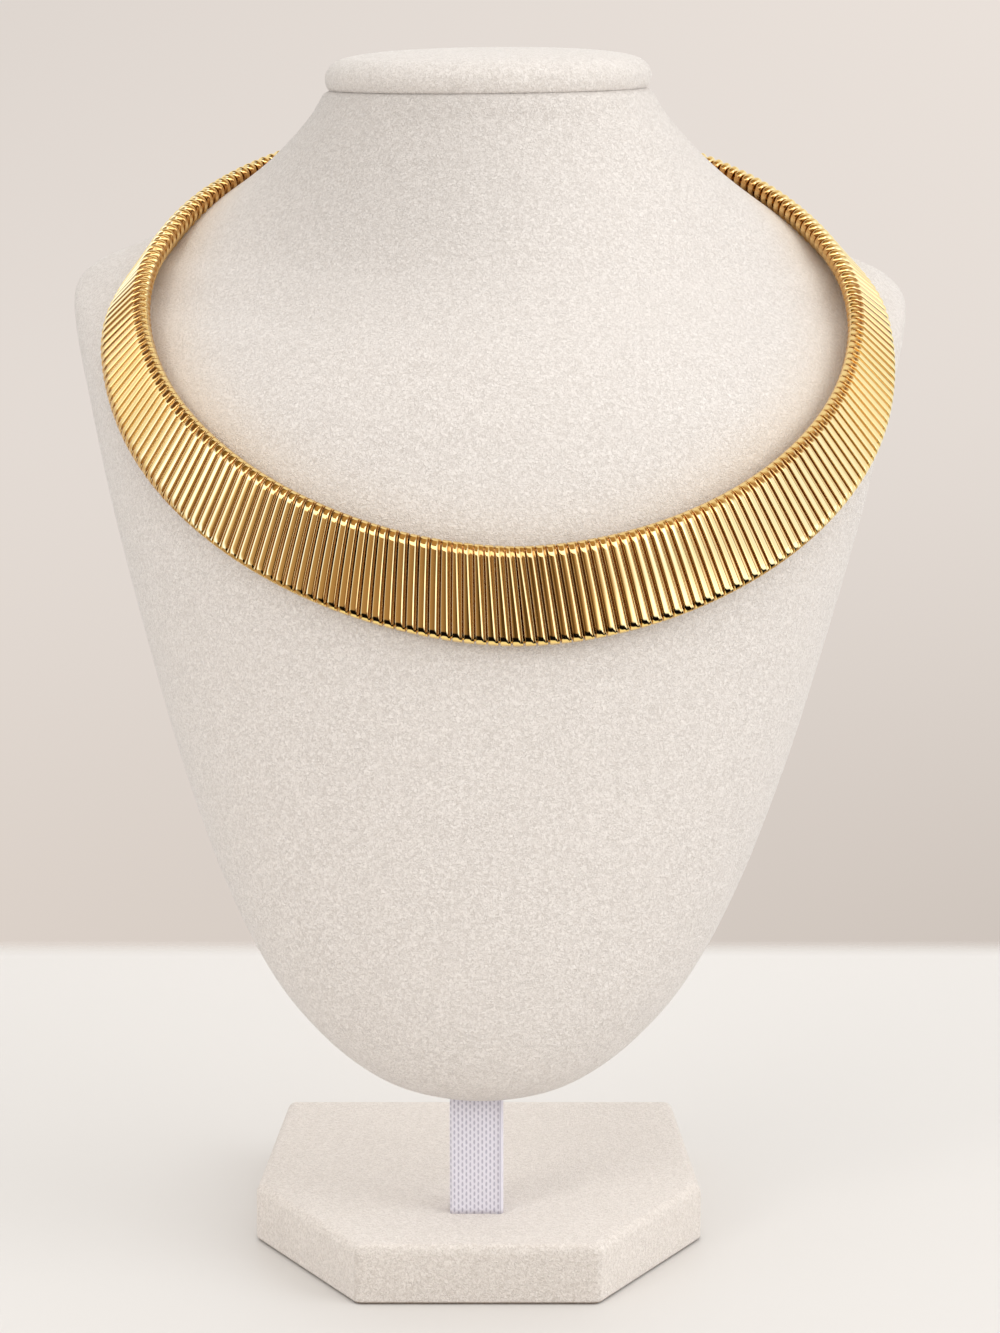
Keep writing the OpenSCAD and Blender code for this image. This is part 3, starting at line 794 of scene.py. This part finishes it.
def roundedOutline(corners, radius, steps):
    # Each corner is an arc that touches both sides: centre = corner + (a + b) r / sin(angle between a and b)
    p = np.asarray(corners, float)
    toLast, toNext = unit(np.roll(p, 1, 0) - p), unit(np.roll(p, -1, 0) - p)
    crossed = toNext[:, 0] * toLast[:, 1] - toNext[:, 1] * toLast[:, 0]
    centre = p + (toLast + toNext) * radius / crossed[:, None]
    start = np.arctan2(toLast[:, 0], -toLast[:, 1])
    sweep = np.pi - np.arccos(np.sum(toLast * toNext, 1))
    angle = start[:, None] + sweep[:, None] * np.linspace(0, 1, steps)
    return (centre[:, None] + radius * np.stack([np.cos(angle), np.sin(angle)], -1)).reshape(-1, 2)


def footSkin():
    # Rounded outline drawn in by each edge's arc, r (1 - sin), and then closing on the middle of both faces
    outline = roundedOutline(foot["corners"], foot["cornerRadius"], 12)
    steps = np.roll(outline, -1, 0) - outline
    parts = np.where(np.linalg.norm(steps, axis=1) > 5, foot["sidePoints"], 1)  # the long sides get more points
    start = np.repeat(np.arange(len(outline)), parts)
    done = (np.arange(len(start)) - (np.cumsum(parts) - parts)[start]) / parts[start]
    outline = outline[start] + steps[start] * done[:, None]
    tangent = np.roll(outline, -1, 0) - np.roll(outline, 1, 0)
    normal = unit(np.stack([tangent[:, 1], -tangent[:, 0]], -1))
    turn = np.radians(np.linspace(0, 90, 8))
    low, high = foot["bottomRadius"], foot["topRadius"]
    inset = np.concatenate([low * (1 - np.sin(turn)), high * (1 - np.cos(turn))])
    z = np.concatenate([low * (1 - np.cos(turn)), foot["high"] - high + high * np.sin(turn)])
    side = outline - normal * inset[:, None, None]
    centre, shares = np.array(foot["middle"]), np.array(foot["rings"])[:, None, None]
    under = centre + (side[0] - centre) * shares
    over = centre + (side[-1] - centre) * shares[::-1]
    rings = np.concatenate([under, side, over])
    heights = np.concatenate([np.zeros(len(under)), z, np.full(len(over), foot["high"])])
    grid = np.dstack([rings, np.broadcast_to(heights[:, None], rings.shape[:2])])
    grid[..., 1] -= footDepth / 2
    return closedSkin("foot", grid)


finishPiece(footSkin(), footVelvet, "base")


room = {
    "tableSize": 3, "tableEdge": 0.248, "tableFade": 0.02,  # the back edge fades out over tableFade
    "tableColour": (0.73, 0.71, 0.69, 1), "tableRoughness": 0.55,
    "wallLow": (0.66, 0.59, 0.535), "wallHigh": (0.78, 0.715, 0.665),
    "wallFrom": (-0.27, -0.09),  # sines of the elevations between which the one turns into the other
    "wallTurn": 4.2, "wallMiddle": 0.12, "wallLimits": (0.85, 1.15),
    "light": 0.76, "lightColour": (1.0, 0.975, 0.945),
    "lightTowards": (0.2, 0.06, 0.53),  # how much brighter it is to the right, behind and above
}
lamps = {
    "key": {"kind": "AREA", "power": 5.6, "place": (1.2, -0.6, 0.8), "aim": (0, 0, 0.13),
            "colour": (0.94, 0.975, 1.0), "more": {"shape": "DISK", "size": 1.1}},
    "fill": {"kind": "SPOT", "power": 12.0, "place": (-0.7, -0.8, 0.55), "aim": (-0.07, 0, 0.06),
             "colour": (1.0, 0.98, 0.95),
             "more": {"shadow_soft_size": 0.2, "spot_size": math.radians(28.0), "spot_blend": 1.0}},
}


def tableTop():
    # A flat sheet at z = 0 that turns clear, by a smooth step in y, just before its back edge
    size, edge = room["tableSize"], room["tableEdge"]
    table = newObject("table", bpy.data.meshes.new("table"))
    table.data.from_pydata([(-size, -size, 0), (size, -size, 0), (size, edge, 0), (-size, edge, 0)], [], [(0, 1, 2, 3)])
    table.visible_glossy = False
    material, nodes = emptyMaterial("tableTop")
    shader = nodes.add("ShaderNodeBsdfPrincipled", Base_Color=room["tableColour"], Roughness=room["tableRoughness"])
    clear = nodes.add("ShaderNodeBsdfTransparent")
    fade = nodes.step(nodes.parts(nodes.place())[1], edge - room["tableFade"], edge)
    soft = nodes.add("ShaderNodeMixShader", i0=fade, i1=shader.outputs[0], i2=clear.outputs[0])
    nodes.add("ShaderNodeOutputMaterial", Surface=soft.outputs[0])
    table.data.materials.append(material)


def studioWorld():
    # The camera sees a wall, mix(low, high) (1 + wallTurn x (z + wallMiddle)), brighter high on the right and low
    # on the left; all else is lit by lightColour (light + direction . lightTowards)
    world = bpy.data.worlds.new("studio")
    world.use_nodes = True
    bpy.context.scene.world = world
    nodes = Nodes(world.node_tree)
    direction = nodes.add("ShaderNodeTexCoord").outputs["Generated"]
    x, _, z = nodes.parts(direction)
    wall = nodes.ramp(nodes.step(z, *room["wallFrom"]), [(0.0, room["wallLow"]), (1.0, room["wallHigh"])])
    turned = nodes.times(x, nodes.math("ADD", z, room["wallMiddle"]))
    turned = nodes.math("MULTIPLY_ADD", turned, room["wallTurn"], 1.0)
    least, most = room["wallLimits"]
    turned = nodes.math("MINIMUM", nodes.math("MAXIMUM", turned, least), most)
    wall = nodes.vector("SCALE", i0=wall, Scale=turned).outputs[0]
    towards = nodes.vector("DOT_PRODUCT", i0=direction, i1=room["lightTowards"]).outputs["Value"]
    light = nodes.math("ADD", room["light"], towards)
    tinted = nodes.vector("SCALE", i0=room["lightColour"], Scale=light).outputs[0]
    seen = nodes.add("ShaderNodeLightPath").outputs["Is Camera Ray"]
    background = nodes.add("ShaderNodeBackground", Color=nodes.mix(seen, tinted, wall), Strength=1.0)
    nodes.add("ShaderNodeOutputWorld", Surface=background.outputs[0])


def hangLamp(name, look):
    # A lamp whose own -Z axis points along aim - place; the gold doesn't mirror it
    light = bpy.data.lights.new(name, look["kind"])
    light.energy, light.color = look["power"], look["colour"]
    for key, value in look["more"].items():
        setattr(light, key, value)
    lamp = newObject(name, light)
    lamp.location = look["place"]
    lamp.rotation_mode = "QUATERNION"
    lamp.rotation_quaternion = (Vector(look["aim"]) - lamp.location).to_track_quat("-Z", "Y")
    lamp.visible_glossy = False


tableTop()
studioWorld()
for name, look in lamps.items():
    hangLamp(name, look)

# The gold mirrors a painted studio: a large sphere that only glossy rays meet.
# Azimuth counts from the camera's side to the right, elevation from the horizon, in degrees.
studio = {
    "radius": 1.5,
    "height": 0.16,
    # azimuth, colour near the horizon
    "horizon": [
        (-180, (0.9, 0.9, 0.92)), (-155, (0.95, 0.97, 1.0)), (-125, (1.05, 1.12, 1.1)), (-107, (1.0, 1.0, 0.85)),
        (-94, (1.05, 1.15, 1.15)), (-86, (1.3, 1.7, 2.6)), (-77, (1.3, 1.65, 2.5)), (-70, (1.2, 1.45, 1.8)),
        (-64, (0.78, 0.68, 0.5)), (-56, (0.58, 0.43, 0.27)), (-48, (0.48, 0.335, 0.185)), (-23, (0.42, 0.27, 0.14)),
        (-7, (0.28, 0.18, 0.085)), (3, (0.075, 0.045, 0.016)), (14, (0.13, 0.074, 0.027)), (23, (0.38, 0.24, 0.12)),
        (31, (0.7, 0.56, 0.4)), (38, (1.1, 1.15, 1.2)), (47, (1.25, 1.5, 1.9)), (60, (1.02, 1.17, 1.25)),
        (80, (1.1, 1.3, 1.6)), (96, (1.12, 1.28, 1.55)), (112, (1.06, 1.15, 1.15)), (150, (1.0, 1.05, 1.1)),
        (180, (0.9, 0.9, 0.92)),
    ],
    # azimuth, colour high up
    "above": [
        (-180, (0.95, 0.92, 0.8)), (-140, (0.95, 0.92, 0.8)), (-115, (0.16, 0.09, 0.03)), (-62, (0.2, 0.12, 0.04)),
        (-40, (0.46, 0.28, 0.11)), (50, (0.46, 0.28, 0.11)), (80, (0.85, 0.72, 0.52)), (115, (0.85, 0.76, 0.58)),
        (140, (0.95, 0.92, 0.8)), (180, (0.95, 0.92, 0.8)),
    ],
    "aboveFrom": (27, 38),
    "below": (0.46, 0.34, 0.2),
    "belowFront": (0.004, 0.003, 0.002),
    "belowFrontRange": (-66, 110, 12),  # azimuths, and how soft its sides are
    "belowFrom": (-19, -26),
    "bottom": (1.05, 1.0, 0.72),
    "bottomFrom": (-51, -58),
    # lights added on top: ends in azimuth; elevation = two limits, each a height and its rise per degree of azimuth
    "lights": [
        {"azimuth": (-72, 52), "low": (8, -0.1), "high": (28, 0), "power": 1.9},  # a long shelf in front
        {"azimuth": (30, 100), "low": (-17, 0), "high": (-15, 0.235), "power": 0.8},  # a window on the right
    ],
    "lightColour": (1, 0.97, 0.9, 1),
}


def studioSphere():
    # Longitude and latitude on a sphere round the collar: (cos e sin a, -cos e cos a, sin e)
    a = np.radians(np.arange(0, 360, 7.5))
    e = np.radians(np.linspace(-87, 87, 30))[:, None]
    grid = np.stack([np.cos(e) * np.sin(a), -np.cos(e) * np.cos(a), np.sin(e) + 0 * a], -1)
    sphere = closedSkin("studioSphere", grid * studio["radius"] / mm)
    material, nodes = emptyMaterial("studioPaint")
    x, y, z = nodes.parts(nodes.vector("NORMALIZE", i0=nodes.place()).outputs[0])
    azimuth = nodes.times(nodes.math("ARCTAN2", x, nodes.times(y, -1.0)), 180 / math.pi)
    elevation = nodes.times(nodes.math("ARCSINE", z), 180 / math.pi)
    turn = nodes.math("MULTIPLY_ADD", azimuth, 1 / 360, 0.5)
    colour, above = (nodes.ramp(turn, [((stop + 180) / 360, tone) for stop, tone in studio[part]])
                     for part in ("horizon", "above"))
    lower = nodes.mix(nodes.window(azimuth, *studio["belowFrontRange"]), studio["below"], studio["belowFront"])
    for part, tone in (("aboveFrom", above), ("belowFrom", lower), ("bottomFrom", studio["bottom"])):
        colour = nodes.mix(nodes.step(elevation, *studio[part]), colour, tone)
    glow = nodes.add("ShaderNodeEmission", Color=colour, Strength=1.0).outputs[0]
    for light in studio["lights"]:
        low, high = (nodes.math("SUBTRACT", elevation, nodes.math("MULTIPLY_ADD", azimuth, rise, height))
                     for height, rise in (light["low"], light["high"]))
        near = nodes.times(nodes.step(low, -2.5, 2.5), nodes.step(high, 2.5, -2.5),
                           nodes.window(azimuth, *light["azimuth"], 4), light["power"])
        more = nodes.add("ShaderNodeEmission", Color=studio["lightColour"], Strength=near).outputs[0]
        glow = nodes.add("ShaderNodeAddShader", i0=glow, i1=more).outputs[0]
    nodes.add("ShaderNodeOutputMaterial", Surface=glow)
    material.cycles.emission_sampling = "NONE"
    sphere.data.materials.append(material)
    sphere.location = (0, 0, studio["height"])
    for ray in ("camera", "diffuse", "transmission", "volume_scatter", "shadow"):
        setattr(sphere, "visible_" + ray, False)


studioSphere()
print("room and lights set")
